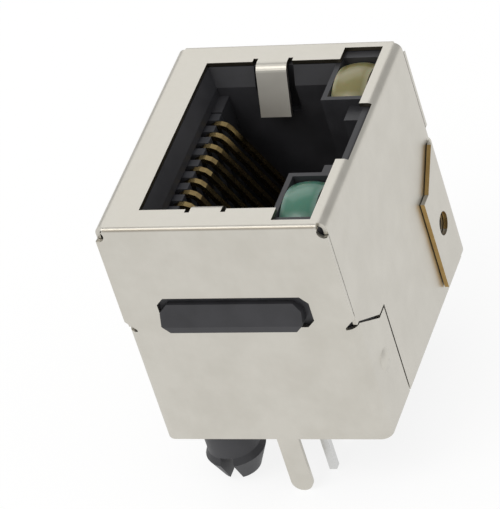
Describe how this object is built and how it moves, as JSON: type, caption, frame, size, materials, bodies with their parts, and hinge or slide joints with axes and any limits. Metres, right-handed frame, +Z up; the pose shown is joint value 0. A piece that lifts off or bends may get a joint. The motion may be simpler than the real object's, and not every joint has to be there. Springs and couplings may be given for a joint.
{
  "type": "rj45 board jack",
  "caption": "Top-entry modular network jack for a circuit board, with a folded metal shield, spring contacts, split board pegs and two LEDs beside the latch slot.",
  "frame": {"origin": "centre of the footprint on the plane of the circuit board", "axes": "+Z up out of the board, against the way the plug goes in; +X from the contacts to the latch and the LEDs; -Y the front with the green LED"},
  "size_m": [0.0142, 0.0174, 0.0194],
  "materials": {
    "shield_tin": "satin tin plate on brass",
    "housing_black": "moulded, matt",
    "carrier_black": "moulded, matt",
    "contact_gold": "gold plate",
    "green_epoxy": "tinted translucent epoxy",
    "yellow_epoxy": "tinted translucent epoxy",
    "lead_tin": "tin plate"
  },
  "bodies": {
    "root": {"shield": "shield_tin", "housing": "housing_black", "contact_carrier": "carrier_black", "tail_plate": "carrier_black", "contact_1": "contact_gold", "contact_2": "contact_gold", "contact_3": "contact_gold", "contact_4": "contact_gold", "contact_5": "contact_gold", "contact_6": "contact_gold", "contact_7": "contact_gold", "contact_8": "contact_gold", "led_green_lens": "green_epoxy", "led_green_anode": "lead_tin", "led_green_cathode": "lead_tin", "led_yellow_lens": "yellow_epoxy", "led_yellow_anode": "lead_tin", "led_yellow_cathode": "lead_tin"}
  },
  "joints": []
}
